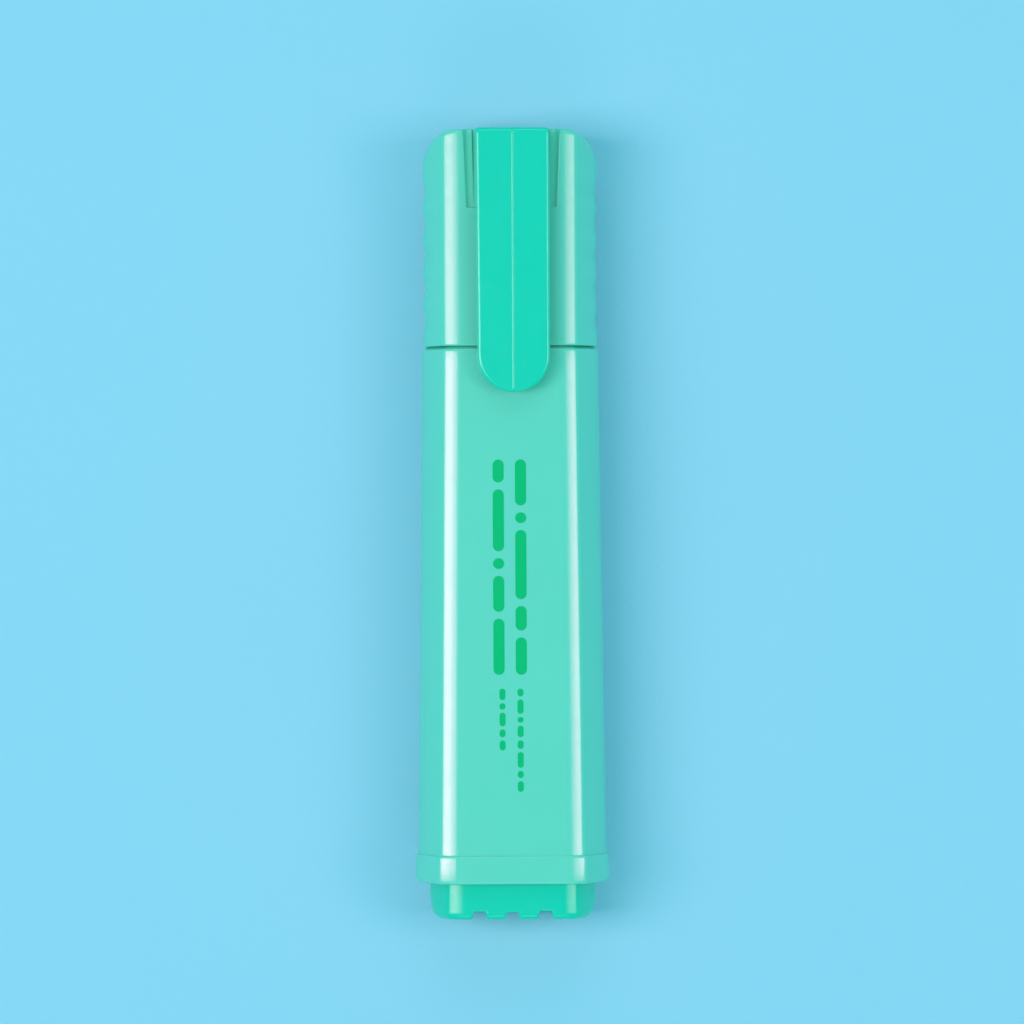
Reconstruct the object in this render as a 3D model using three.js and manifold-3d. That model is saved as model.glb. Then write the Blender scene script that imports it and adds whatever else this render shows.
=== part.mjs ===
// A flat pastel highlighter pen, lying on its back with its pocket clip up.
// Millimetres. X is across the pen, +Y runs along it towards the cap, +Z is up through the clip.
// The origin is below the middle of the pen, on the surface that the pen's collar lies on.
// A "station" is a distance along the pen from its tail end; along() turns it into Y.

import * as THREE from 'three';
import { mergeVertices } from 'three/addons/utils/BufferGeometryUtils.js';
import Module from 'manifold-3d';

const wasm = await Module();
wasm.setup();

// ---- Driving dimensions ----

const LENGTH = 110.0;
const WALL = 1.3;
const GAP = 0.35; // clearance between separate pieces
const OVERRUN = 1; // how far a cut runs past the face that it opens

const CAP = { width: 24.3, thick: 15.4, creaseInset: 2.88, length: 30.2 };
const BARREL_FRONT = { width: 24.6, thick: 15.4, creaseInset: 3.0 };
const BARREL_REAR = { width: 26.3, thick: 16.4, creaseInset: 3.2 };
const BARREL_HOLLOW_INSET = 2.5;
const COLLAR = { width: 27.1, thick: 17.2, creaseInset: 3.35, length: 3.95, rimRadius: 1.2 };
const PLUG = { width: 23.1, thick: 13.4, creaseInset: 2.5, shown: 5.0, inserted: 8.0 };

// The section's front is flat, then a soft shoulder falls to a crease, then a convex side facet.
const SHOULDER_RUN = 2.45;
const CREASE_DROP = 0.55;
const CREASE_SLOPE = Math.tan(THREE.MathUtils.degToRad(25));
const RIDGE_BLEND = 1.74;

// The cap's end, seen from the front, and the finger scallops down its sides.
const CAP_END = { cornerRadius: 4.8, bow: 0.1 };
const SCALLOP = { first: 81.25, pitch: 4.5, count: 5, depth: 0.25, segments: 6 };

// The clip's seat at the cap's end: a shallow recess, and a pocket in it that holds the clip's base.
// Both get deeper towards the end, and stand a little to one side of the pen's middle, as the clip does.
const RECESS = { centre: 0.28, halfEnd: 6.6, halfTail: 6.2, length: 11.0, depthEnd: 0.5, depthTail: 0.3 };
const POCKET = { centre: 0.22, halfEnd: 5.38, halfTail: 5.15, length: 10.2, depthEnd: 0.95, depthTail: 0.35 };

const CLIP = {
  centre: 0.45, halfRoot: 5.16, halfTip: 5.04, length: 36.7, rise: 3.3, thick: 1.3, bend: 0.6,
  rootLength: 9.8, lift: 0.1, gripDrop: 1.5, gripCentre: 77.8, gripHalf: 1.8,
  ribHalf: 0.15, ribRise: 0.1, ribMargin: 0.3,
};
const BASE = { centre: 0.3, halfEnd: 5.0, halfTail: 4.7, drop: 0.55 };
const TONGUE = { halfWidth: 3.0, near: 5.0, far: 3.0, depth: 1.2 };

// The barrel's neck goes inside the cap; its nose holds the nib.
const NECK = { length: 8.6, wall: 1.2 };
const BEAD = { rise: 0.25, from: 3.6, length: 1.4 };
const NOSE = { width: 12.0, thick: 8.4, corner: 3.2, start: 90.6, end: 99.0, tipScale: 0.92, sink: 0.6 };
const NIB = { width: 5.2, thick: 4.0, corner: 0.9, rear: 73.4, tip: 105.6, chiselRun: 3.8, edge: 0.5 };
const RESERVOIR = { radius: 5.4, rear: 18.4, front: 77.0, pocket: 4.0, sides: 40 };
const WRAP = { inner: 5.7, outer: 5.9, overhang: 0.6 };

const INNER_CAP = { width: 14.4, thick: 10.8, corner: 4.0, wall: 0.8, mouth: 91.4, end: 108.0 };
const INNER_FLANGE = { width: 16.4, thick: 11.8, corner: 3.6, length: 1.0 };

// Three notches across the tail end.
const NOTCH = { pitch: 4.6, root: 1.5, mouth: 2.0, depth: 1.15 };
const PLUG_END = { cornerRadius: 1.7, wall: 2.6 };
const FIN = { thick: 1.2, reach: 5.2, start: 2.1, end: 18.0 };

const CURVE_SEGMENTS = 4;

const PASTEL = { color: 0x62dfcb, roughness: 0.22, metalness: 0 };
const TURQUOISE = { color: 0x05d5b9, roughness: 0.38, metalness: 0 };
const SEAL_WHITE = { color: 0xdff3ee, roughness: 0.5, metalness: 0 };
const NIB_FELT = { color: 0x35d9a8, roughness: 0.95, metalness: 0 };
const INK_FIBRE = { color: 0x8de8cf, roughness: 0.9, metalness: 0 };
const CLEAR_FILM = { color: 0xe9f7f4, roughness: 0.15, metalness: 0, transparent: true, opacity: 0.45 };

// ---- Places worked out from the dimensions ----

const AXIS_Z = COLLAR.thick / 2;
const FACE_Z = AXIS_Z + CAP.thick / 2;
const CAP_MOUTH = LENGTH - CAP.length;
const SHOULDER = CAP_MOUTH - 0.4;
const COLLAR_END = PLUG.shown + COLLAR.length;
const PLUG_INNER = PLUG.shown + PLUG.inserted;
const NECK_END = SHOULDER + NECK.length;
const NECK_INSET = -(WALL + GAP + BEAD.rise);
const CLIP_TOP = FACE_Z + CLIP.rise;

const along = (station) => station - LENGTH / 2;

// ---- Outlines ----

/** The pen's cross-section, grown by `grow` on every side; its y is the thickness direction. */
function penSection({ width, thick, creaseInset }, grow = 0) {
  const w = width / 2 + grow;
  const t = thick / 2 + grow;
  const creaseX = w - creaseInset;
  const creaseT = t - CREASE_DROP;
  const flatX = creaseX - SHOULDER_RUN;
  const shoulderX = creaseX - CREASE_DROP / CREASE_SLOPE;
  const shape = new THREE.Shape();
  shape.moveTo(flatX, -t);
  shape.quadraticCurveTo(shoulderX, -t, creaseX, -creaseT);
  shape.quadraticCurveTo(w, -RIDGE_BLEND, w, 0);
  shape.quadraticCurveTo(w, RIDGE_BLEND, creaseX, creaseT);
  shape.quadraticCurveTo(shoulderX, t, flatX, t);
  shape.lineTo(-flatX, t);
  shape.quadraticCurveTo(-shoulderX, t, -creaseX, creaseT);
  shape.quadraticCurveTo(-w, RIDGE_BLEND, -w, 0);
  shape.quadraticCurveTo(-w, -RIDGE_BLEND, -creaseX, -creaseT);
  shape.quadraticCurveTo(-shoulderX, -t, -flatX, -t);
  shape.closePath();
  return shape;
}

function roundedRectangle(width, thick, corner) {
  const x = width / 2 - corner;
  const y = thick / 2 - corner;
  const quarter = Math.PI / 2;
  const shape = new THREE.Shape();
  shape.moveTo(x, -y - corner);
  shape.absarc(x, -y, corner, -quarter, 0, false);
  shape.absarc(x, y, corner, 0, quarter, false);
  shape.absarc(-x, y, corner, quarter, 2 * quarter, false);
  shape.absarc(-x, -y, corner, 2 * quarter, 3 * quarter, false);
  shape.closePath();
  return shape;
}

function polygon(points) {
  return new THREE.Shape(points.map(([x, y]) => new THREE.Vector2(x, y)));
}

/** How far the scalloped side of the cap stands in from its widest, at a station. */
function scallopDepth(station) {
  const turn = (station - SCALLOP.first) / SCALLOP.pitch;
  return turn < 0 || turn > SCALLOP.count ? 0 : (SCALLOP.depth * (1 - Math.cos(2 * Math.PI * turn))) / 2;
}

/** The cap from the front: scalloped sides, rounded corners and a slightly bowed end. */
function capOutline(grow, scalloped) {
  const w = CAP.width / 2 + grow;
  const end = along(LENGTH) + grow;
  const corner = CAP_END.cornerRadius + grow;
  const cornerY = end - CAP_END.bow - corner;
  const bottom = along(CAP_MOUTH) - OVERRUN;
  const sideSteps = scalloped ? SCALLOP.count * SCALLOP.segments : 0;
  const side = Array.from({ length: sideSteps + 1 }, (_, i) => {
    const station = SCALLOP.first + (i * SCALLOP.pitch) / SCALLOP.segments;
    return [w - scallopDepth(station), along(station)];
  });
  const shape = new THREE.Shape();
  shape.moveTo(-w, bottom);
  shape.lineTo(w, bottom);
  side.forEach(([x, y]) => shape.lineTo(x, y));
  shape.absarc(w - corner, cornerY, corner, 0, Math.PI / 2, false);
  shape.quadraticCurveTo(0, end + CAP_END.bow, corner - w, cornerY + corner);
  shape.absarc(corner - w, cornerY, corner, Math.PI / 2, Math.PI, false);
  side.reverse().forEach(([x, y]) => shape.lineTo(-x, y));
  shape.closePath();
  return shape;
}

// ---- Solids ----

const extrude = (shape, depth, steps = 1) =>
  new THREE.ExtrudeGeometry(shape, { depth, steps, bevelEnabled: false, curveSegments: CURVE_SEGMENTS });

/** A cross-section run along the pen between two stations, scaled evenly to `endScale` at the second. */
function runAlong(shape, from, to, endScale = [1, 1]) {
  const geometry = extrude(shape, to - from);
  geometry.rotateX(-Math.PI / 2);
  const position = geometry.attributes.position;
  for (let i = 0; i < position.count; i += 1) {
    const t = position.getY(i) / (to - from);
    position.setX(i, position.getX(i) * THREE.MathUtils.lerp(1, endScale[0], t));
    position.setZ(i, position.getZ(i) * THREE.MathUtils.lerp(1, endScale[1], t));
  }
  return solid(geometry.translate(0, along(from), AXIS_Z));
}

/** An outline in X and Y, run up from one height to another. */
const runUp = (shape, low, high) => solid(extrude(shape, high - low).translate(0, 0, low));

/** A side profile in Y and Z, run across the pen between -half and +half. */
function runAcross(shape, half) {
  const turn = new THREE.Matrix4().set(0, 0, 1, -half, 1, 0, 0, 0, 0, 1, 0, 0, 0, 0, 0, 1);
  return solid(extrude(shape, 2 * half).applyMatrix4(turn));
}

function box(centre, halfX, stations, heights) {
  const [near, far] = stations;
  const [low, high] = heights;
  const geometry = new THREE.BoxGeometry(2 * halfX, far - near, high - low);
  return solid(geometry.translate(centre, along((near + far) / 2), (low + high) / 2));
}

/** A tube or a rod round the pen's axis, from a closed or axis-touching profile. */
function turned(profile) {
  const points = profile.map(([radius, station]) => new THREE.Vector2(radius, along(station)));
  return solid(new THREE.LatheGeometry(points, RESERVOIR.sides).translate(0, 0, AXIS_Z));
}

function solid(geometry) {
  const bare = geometry.clone();
  bare.deleteAttribute('normal');
  bare.deleteAttribute('uv');
  const merged = mergeVertices(bare, 1e-4);
  const triVerts = new Uint32Array(merged.index.array);
  const vertProperties = new Float32Array(merged.attributes.position.array);
  return new wasm.Manifold(new wasm.Mesh({ numProp: 3, vertProperties, triVerts }));
}

const join = (first, ...others) => others.reduce((sum, other) => sum.add(other), first);
const cut = (first, ...others) => others.reduce((rest, other) => rest.subtract(other), first);

function toMesh(name, body, look) {
  const data = body.getMesh();
  const geometry = new THREE.BufferGeometry();
  geometry.setAttribute('position', new THREE.BufferAttribute(data.vertProperties, 3));
  geometry.setIndex(new THREE.BufferAttribute(data.triVerts, 1));
  geometry.computeVertexNormals();
  const mesh = new THREE.Mesh(geometry, new THREE.MeshStandardMaterial(look));
  mesh.name = name;
  return mesh;
}

// ---- Cap ----

function capBody(grow, mouth, scalloped) {
  const reach = CAP.thick;
  const outline = runUp(capOutline(grow, scalloped), AXIS_Z - reach, AXIS_Z + reach);
  return runAlong(penSection(CAP, grow), mouth, LENGTH + OVERRUN).intersect(outline);
}

/** The outline from the front of a wedge that widens towards the cap's end. */
function wedgeOutline({ centre, halfEnd, halfTail, length }) {
  const start = along(LENGTH - length);
  const end = along(LENGTH);
  return polygon([
    [centre - halfTail, start], [centre + halfTail, start], [centre + halfEnd, end],
    [centre + halfEnd, end + OVERRUN], [centre - halfEnd, end + OVERRUN], [centre - halfEnd, end],
  ]);
}

/** A cut in the cap's face that gets deeper towards the cap's end, where it is open. */
function faceCut(wedge) {
  const start = along(LENGTH - wedge.length);
  const end = along(LENGTH);
  const low = FACE_Z - wedge.depthEnd;
  const high = FACE_Z + OVERRUN;
  const fromSide = polygon([
    [start, FACE_Z - wedge.depthTail], [end, low], [end + OVERRUN, low], [end + OVERRUN, high], [start, high],
  ]);
  return runAcross(fromSide, CAP.width).intersect(runUp(wedgeOutline(wedge), low, high));
}

function capShell() {
  const slot = box(
    CLIP.centre,
    TONGUE.halfWidth + GAP,
    [LENGTH - TONGUE.near - GAP, LENGTH - TONGUE.far + GAP],
    [FACE_Z - 2 * WALL, FACE_Z + OVERRUN],
  );
  const hollow = capBody(-WALL, CAP_MOUTH - OVERRUN, false);
  return cut(capBody(0, CAP_MOUTH, true), hollow, faceCut(RECESS), faceCut(POCKET), slot);
}

// ---- Clip ----

function clipProfile() {
  const end = along(LENGTH);
  const tip = along(LENGTH - CLIP.length);
  const under = CLIP_TOP - CLIP.thick;
  const seat = FACE_Z + CLIP.lift;
  const root = along(LENGTH - CLIP.rootLength);
  const grip = along(CLIP.gripCentre);
  const shape = new THREE.Shape();
  shape.moveTo(end, seat);
  shape.lineTo(end, CLIP_TOP - CLIP.bend);
  shape.absarc(end - CLIP.bend, CLIP_TOP - CLIP.bend, CLIP.bend, 0, Math.PI / 2, false);
  shape.lineTo(tip, CLIP_TOP);
  shape.lineTo(tip, under);
  shape.lineTo(grip - CLIP.gripHalf, under);
  shape.quadraticCurveTo(grip, under - 2 * CLIP.gripDrop, grip + CLIP.gripHalf, under);
  shape.lineTo(root - CLIP.thick, under);
  shape.quadraticCurveTo(root, under, root, seat);
  shape.closePath();
  return shape;
}

/** The clip from the front: nearly parallel sides and a round tip. */
function clipOutline() {
  const tipCentre = along(LENGTH - CLIP.length + CLIP.halfTip);
  const end = along(LENGTH) + OVERRUN;
  const shape = new THREE.Shape();
  shape.moveTo(CLIP.halfTip, tipCentre);
  shape.lineTo(CLIP.halfRoot, end);
  shape.lineTo(-CLIP.halfRoot, end);
  shape.lineTo(-CLIP.halfTip, tipCentre);
  shape.absarc(0, tipCentre, CLIP.halfTip, Math.PI, 2 * Math.PI, false);
  shape.closePath();
  return shape;
}

/** The wedge under the clip's root, which sits in the cap's pocket. */
function clipBase() {
  const start = along(LENGTH - CLIP.rootLength);
  const end = along(LENGTH);
  const low = FACE_Z - BASE.drop;
  const high = FACE_Z + CLIP.thick;
  const fromSide = polygon([
    [start, FACE_Z], [end, low], [end + OVERRUN, low], [end + OVERRUN, high], [start, high],
  ]);
  const outline = wedgeOutline({ ...BASE, length: CLIP.rootLength });
  return runAcross(fromSide, CAP.width).intersect(runUp(outline, low, high));
}

function clip() {
  const outline = runUp(clipOutline(), FACE_Z, CLIP_TOP + OVERRUN).translate([CLIP.centre, 0, 0]);
  const arm = runAcross(clipProfile(), 2 * CLIP.halfRoot).intersect(outline);
  const rib = box(
    CLIP.centre,
    CLIP.ribHalf,
    [LENGTH - CLIP.length + CLIP.ribMargin, LENGTH - CLIP.bend],
    [CLIP_TOP - CLIP.thick / 2, CLIP_TOP + CLIP.ribRise],
  );
  const tongue = box(
    CLIP.centre,
    TONGUE.halfWidth,
    [LENGTH - TONGUE.near, LENGTH - TONGUE.far],
    [FACE_Z - TONGUE.depth, FACE_Z + CLIP.thick],
  );
  const low = FACE_Z - BASE.drop - OVERRUN;
  const high = CLIP_TOP + OVERRUN;
  const beyondEnd = cut(
    box(0, CAP.width, [LENGTH - CAP_END.cornerRadius, LENGTH + OVERRUN], [low, high]),
    runUp(capOutline(0, false), low, high),
  );
  return cut(join(arm, clipBase(), rib, tongue), beyondEnd);
}

// ---- Inner cap ----

function innerCap() {
  const { width, thick, corner, wall, mouth, end } = INNER_CAP;
  const sleeve = runAlong(roundedRectangle(width, thick, corner), mouth, end);
  const bore = roundedRectangle(width - 2 * wall, thick - 2 * wall, corner - wall);
  const flangeShape = roundedRectangle(INNER_FLANGE.width, INNER_FLANGE.thick, INNER_FLANGE.corner);
  const flange = runAlong(flangeShape, end - INNER_FLANGE.length, end);
  return cut(join(sleeve, flange), runAlong(bore, mouth - OVERRUN, end - wall));
}

// ---- Barrel ----

const barrelScale = [BARREL_REAR.width / BARREL_FRONT.width, BARREL_REAR.thick / BARREL_FRONT.thick];
const towardsFront = [1 / barrelScale[0], 1 / barrelScale[1]];

function collar() {
  const half = COLLAR.width / 2;
  const rim = COLLAR.rimRadius;
  const low = along(PLUG.shown);
  const high = along(COLLAR_END);
  const outline = new THREE.Shape();
  outline.moveTo(-half + rim, low);
  outline.lineTo(half - rim, low);
  outline.absarc(half - rim, low + rim, rim, -Math.PI / 2, 0, false);
  outline.lineTo(half, high);
  outline.lineTo(-half, high);
  outline.absarc(-half + rim, low + rim, rim, Math.PI, 1.5 * Math.PI, false);
  outline.closePath();
  const block = runUp(outline, -OVERRUN, COLLAR.thick + OVERRUN);
  return runAlong(penSection(COLLAR), PLUG.shown, COLLAR_END).intersect(block);
}

function neck() {
  const shape = penSection(CAP, NECK_INSET);
  const beadStart = SHOULDER + BEAD.from;
  const straight = runAlong(shape, SHOULDER - WALL, NECK_END);
  const bead = runAlong(penSection(CAP, NECK_INSET + BEAD.rise), beadStart, beadStart + BEAD.length);
  const noseScale = [NOSE.width / (CAP.width + 2 * NECK_INSET), NOSE.thick / (CAP.thick + 2 * NECK_INSET)];
  const cone = runAlong(shape, NECK_END, NOSE.start, noseScale);
  const noseShape = roundedRectangle(NOSE.width, NOSE.thick, NOSE.corner);
  const nose = runAlong(noseShape, NOSE.start - NOSE.sink, NOSE.end, [NOSE.tipScale, NOSE.tipScale]);
  return join(straight, bead, cone, nose);
}

function barrel() {
  const rearShape = penSection(BARREL_REAR);
  const tube = runAlong(rearShape, COLLAR_END - OVERRUN, SHOULDER, towardsFront);
  const hollowShape = penSection({ ...BARREL_REAR, creaseInset: BARREL_HOLLOW_INSET }, -WALL);
  const hollow = runAlong(hollowShape, PLUG.shown - OVERRUN, SHOULDER - WALL, towardsFront);
  const neckHollow = penSection(CAP, NECK_INSET - NECK.wall);
  const nibBore = roundedRectangle(NIB.width + 2 * GAP, NIB.thick + 2 * GAP, NIB.corner + GAP);
  return cut(
    join(tube, collar(), neck()),
    hollow,
    runAlong(neckHollow, SHOULDER - WALL - OVERRUN, NECK_END - NECK.wall),
    runAlong(nibBore, NECK_END - NECK.wall - OVERRUN, NOSE.end + OVERRUN),
  );
}

// ---- Nib and ink ----

/** A felt rod whose front is cut to a slanted chisel. */
function nib() {
  const rod = runAlong(roundedRectangle(NIB.width, NIB.thick, NIB.corner), NIB.rear, NIB.tip);
  const rear = along(NIB.rear) - OVERRUN;
  const tip = along(NIB.tip);
  const chiselStart = tip - NIB.chiselRun;
  const low = AXIS_Z - NIB.thick / 2;
  const high = AXIS_Z + NIB.thick / 2;
  const keep = runAcross(polygon([
    [rear, low - OVERRUN], [chiselStart, low - OVERRUN], [chiselStart, low],
    [tip, high - NIB.edge], [tip, high + OVERRUN], [rear, high + OVERRUN],
  ]), NIB.width);
  return rod.intersect(keep);
}

function inkReservoir() {
  const { radius, rear, front, pocket } = RESERVOIR;
  const rod = turned([[0, rear], [radius, rear], [radius, front], [0, front]]);
  const pocketShape = roundedRectangle(NIB.width + 2 * GAP, NIB.thick + 2 * GAP, NIB.corner + GAP);
  return cut(rod, runAlong(pocketShape, front - pocket, front + OVERRUN));
}

function reservoirWrap() {
  const rear = RESERVOIR.rear - WRAP.overhang / 2;
  const front = RESERVOIR.front + WRAP.overhang;
  return turned([
    [WRAP.inner, rear], [WRAP.outer, rear], [WRAP.outer, front], [WRAP.inner, front], [WRAP.inner, rear],
  ]);
}

// ---- End plug ----

/** The plug from the front: a straight end with rounded corners. */
function plugOutline() {
  const half = PLUG.width / 2;
  const corner = PLUG_END.cornerRadius;
  const end = along(0);
  const high = along(PLUG_INNER) + OVERRUN;
  const shape = new THREE.Shape();
  shape.moveTo(corner - half, end);
  shape.lineTo(half - corner, end);
  shape.absarc(half - corner, end + corner, corner, -Math.PI / 2, 0, false);
  shape.lineTo(half, high);
  shape.lineTo(-half, high);
  shape.absarc(corner - half, end + corner, corner, Math.PI, 1.5 * Math.PI, false);
  shape.closePath();
  return shape;
}

function notch(centre) {
  const end = along(0);
  const mouth = NOTCH.mouth / 2;
  const root = NOTCH.root / 2;
  const outline = polygon([
    [centre - mouth, end - OVERRUN], [centre + mouth, end - OVERRUN], [centre + mouth, end],
    [centre + root, end + NOTCH.depth], [centre - root, end + NOTCH.depth], [centre - mouth, end],
  ]);
  return runUp(outline, 0, COLLAR.thick);
}

function endPlug() {
  const fromFront = runUp(plugOutline(), 0, COLLAR.thick);
  const block = runAlong(penSection(PLUG), -OVERRUN, PLUG_INNER).intersect(fromFront);
  const hollow = runAlong(penSection(PLUG, -WALL), PLUG_END.wall, PLUG_INNER + OVERRUN);
  const { thick, reach, start, end } = FIN;
  const flatFin = box(0, reach, [start, end], [AXIS_Z - thick / 2, AXIS_Z + thick / 2]);
  const uprightFin = box(0, thick / 2, [start, end], [AXIS_Z - reach, AXIS_Z + reach]);
  const notches = [-NOTCH.pitch, 0, NOTCH.pitch].map(notch);
  return cut(join(cut(block, hollow), flatFin, uprightFin), ...notches);
}

// ---- The pen ----

const highlighter = new THREE.Group();
highlighter.add(
  toMesh('cap_shell', capShell(), PASTEL),
  toMesh('clip', clip(), TURQUOISE),
  toMesh('inner_cap', innerCap(), SEAL_WHITE),
  toMesh('barrel', barrel(), PASTEL),
  toMesh('nib', nib(), NIB_FELT),
  toMesh('ink_reservoir', inkReservoir(), INK_FIBRE),
  toMesh('reservoir_wrap', reservoirWrap(), CLEAR_FILM),
  toMesh('end_plug', endPlug(), TURQUOISE),
);

export default highlighter;
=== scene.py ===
"""Looks of the flat pastel highlighter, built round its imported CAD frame.

Shapes are worked out in millimetres in the row frame and written in metres. Two makers build the meshes:
carve() turns a field, which is below zero inside the piece, into a closed surface with true fillets, and
loft() joins rings of a cross-section along the pen.
"""

import math

import bmesh
import bpy
import numpy as np
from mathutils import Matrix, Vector


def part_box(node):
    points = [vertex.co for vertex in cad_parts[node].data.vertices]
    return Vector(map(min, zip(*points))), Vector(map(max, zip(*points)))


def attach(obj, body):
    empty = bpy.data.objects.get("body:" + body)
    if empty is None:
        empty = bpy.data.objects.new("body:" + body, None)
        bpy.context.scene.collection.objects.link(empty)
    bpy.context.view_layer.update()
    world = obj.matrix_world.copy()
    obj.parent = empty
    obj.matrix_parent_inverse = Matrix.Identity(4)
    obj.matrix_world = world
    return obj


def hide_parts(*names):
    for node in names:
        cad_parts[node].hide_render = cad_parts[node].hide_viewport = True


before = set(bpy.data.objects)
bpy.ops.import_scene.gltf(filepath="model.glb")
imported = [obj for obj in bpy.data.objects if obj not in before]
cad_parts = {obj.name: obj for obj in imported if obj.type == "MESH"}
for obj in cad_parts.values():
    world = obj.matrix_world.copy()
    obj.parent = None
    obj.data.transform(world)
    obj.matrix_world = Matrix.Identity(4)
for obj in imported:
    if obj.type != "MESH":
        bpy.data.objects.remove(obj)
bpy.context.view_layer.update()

MM = 0.001


# ---- Places and sizes, from the frame (mm) ----

def box_mm(node):
    low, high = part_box(node)
    return np.array(low) / MM, np.array(high) / MM


CAP_LOW, CAP_HIGH = box_mm("cap_shell")
BARREL_LOW, BARREL_HIGH = box_mm("barrel")
CLIP_LOW = box_mm("clip")[0]
PLUG_LOW, PLUG_HIGH = box_mm("end_plug")
SEAL_LOW, SEAL_HIGH = box_mm("inner_cap")
NIB_LOW, NIB_HIGH = box_mm("nib")
INK_LOW, INK_HIGH = box_mm("ink_reservoir")
WRAP_LOW, WRAP_HIGH = box_mm("reservoir_wrap")

TAIL = PLUG_LOW[1]
LENGTH = CAP_HIGH[1] - TAIL
AXIS = (BARREL_LOW[2] + BARREL_HIGH[2]) / 2

# Each section: half width, half thickness, how far the crease stands in from the widest line, and how softly
# the face turns down into the shoulder.
CAP = ((CAP_HIGH[0] - CAP_LOW[0]) / 2, AXIS - CAP_LOW[2], 2.88, 0.55)
FRONT = (12.3, 7.7, 3.0, 0.55)
REAR = (13.15, 8.2, 3.2, 0.6)
COLLAR = ((BARREL_HIGH[0] - BARREL_LOW[0]) / 2, (BARREL_HIGH[2] - BARREL_LOW[2]) / 2, 3.35, 0.78)
PLUG = ((PLUG_HIGH[0] - PLUG_LOW[0]) / 2, (PLUG_HIGH[2] - PLUG_LOW[2]) / 2, 2.5, 0.5)

WALL = 1.3
NIB_HALF = ((NIB_HIGH[0] - NIB_LOW[0]) / 2, (NIB_HIGH[2] - NIB_LOW[2]) / 2)
NIB_BORE = (NIB_HALF[0] + 0.35, NIB_HALF[1] + 0.35, 1.25)
FACE = AXIS + CAP[1]
GROOVE_WIDTH = 0.5
MOUTH = CAP_LOW[1] - TAIL
SHOULDER = MOUTH - GROOVE_WIDTH
COLLAR_LENGTH = 3.95
COLLAR_START = BARREL_LOW[1] - TAIL
COLLAR_END = COLLAR_START + COLLAR_LENGTH


# ---- Fields ----

CREASE_DROP = 0.55
CREASE_BLEND = 0.16
SHOULDER_ANGLE = math.radians(25)
SIDE_RADIUS = 21.7
RIDGE_ROUND = 0.7


def smooth_max(a, b, blend):
    h = np.maximum(blend - np.abs(a - b), 0) / blend
    return np.maximum(a, b) + h * h * blend / 4


def smooth_min(a, b, blend):
    return -smooth_max(-a, -b, blend)


def beyond(value, ends):
    """How far a value is past the nearer of two ends; below zero between them."""
    return np.maximum(ends[0] - value, value - ends[1])


def side_centre(half_width, half_thick, inset):
    """Centre of the side facet's arc, which runs from the crease to the widest line."""
    crease = np.array([half_width - inset, math.hypot(half_thick - CREASE_DROP, RIDGE_ROUND)])
    ridge = np.array([half_width, RIDGE_ROUND])
    chord = crease - ridge
    length = np.linalg.norm(chord)
    inward = np.array([-chord[1], chord[0]]) / length
    return (crease + ridge) / 2 + inward * math.sqrt(SIDE_RADIUS**2 - (length / 2) ** 2)


def pen_section(x, z, half_width, half_thick, inset, blend, dent=0.0):
    """The pen's cross-section: flat face, soft shoulder, crease and bowed side; z is from the axis."""
    ax, az = np.abs(x), np.abs(z)
    shoulder = (ax - half_width + inset) * math.sin(SHOULDER_ANGLE)
    shoulder = shoulder + (az - half_thick + CREASE_DROP) * math.cos(SHOULDER_ANGLE)
    front = smooth_max(az - half_thick, shoulder, blend)
    cx, cz = side_centre(half_width, half_thick, inset)
    side = np.hypot(ax - cx, np.hypot(z, RIDGE_ROUND) - cz) - SIDE_RADIUS
    return smooth_max(front, side + dent, CREASE_BLEND)


def rounded_box(x, z, half_width, half_thick, corner):
    qx, qz = np.abs(x) - half_width + corner, np.abs(z) - half_thick + corner
    outside = np.hypot(np.maximum(qx, 0), np.maximum(qz, 0))
    return outside + np.minimum(np.maximum(qx, qz), 0) - corner


# ---- Mesh makers ----

def lines(*stretches):
    """Grid positions from stretches of (start, end, step)."""
    parts = [np.linspace(a, b, max(1, round((b - a) / step)), endpoint=False) for a, b, step in stretches]
    return np.concatenate([*parts, [stretches[-1][1]]])


def mirrored(positions):
    return np.concatenate([-positions[:0:-1], positions])


def shifted(array, axis, forward):
    """The array without its last layer along an axis, or without its first one."""
    cut = [slice(None)] * array.ndim
    cut[axis] = slice(1, None) if forward else slice(None, -1)
    return array[tuple(cut)]


def edge_crossings(values, grid, axis):
    """Where each grid edge along an axis crosses the surface."""
    a, b = shifted(values, axis, False), shifted(values, axis, True)
    crossed = (a < 0) != (b < 0)
    t = np.where(crossed, a / np.where(crossed, a - b, 1), 0)[..., None]
    low, high = shifted(grid, axis, False), shifted(grid, axis, True)
    return crossed, low + (high - low) * t


def cell_vertices(values, grid):
    """One vertex in each cell that the surface passes through: the mean of its edges' crossings."""
    cells = tuple(n - 1 for n in values.shape)
    total, hits = np.zeros((*cells, 3)), np.zeros(cells)
    for axis in range(3):
        crossed, points = edge_crossings(values, grid, axis)
        u, v = [i for i in range(3) if i != axis]
        for first in (False, True):
            for second in (False, True):
                here = shifted(shifted(crossed, u, first), v, second)
                total += shifted(shifted(points, u, first), v, second) * here[..., None]
                hits += here
    active = hits > 0
    index = np.full(cells, -1)
    index[active] = np.arange(active.sum())
    return index, total[active] / hits[active][:, None]


def cell_quads(values, index):
    """A quad round each grid edge that crosses the surface, facing out."""
    quads = []
    for axis in range(3):
        u, v = [(axis + i) % 3 for i in (1, 2)]
        inner = [slice(1, -1)] * 3
        inner[axis] = slice(None)
        a = shifted(values, axis, False)[tuple(inner)] < 0
        b = shifted(values, axis, True)[tuple(inner)] < 0
        corners = [
            shifted(shifted(index, u, du), v, dv)
            for du, dv in ((False, False), (True, False), (True, True), (False, True))
        ]
        loop = np.stack(corners, -1)
        quads.append(loop[a & ~b])
        quads.append(loop[b & ~a][:, ::-1])
    return np.concatenate(quads)


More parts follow.
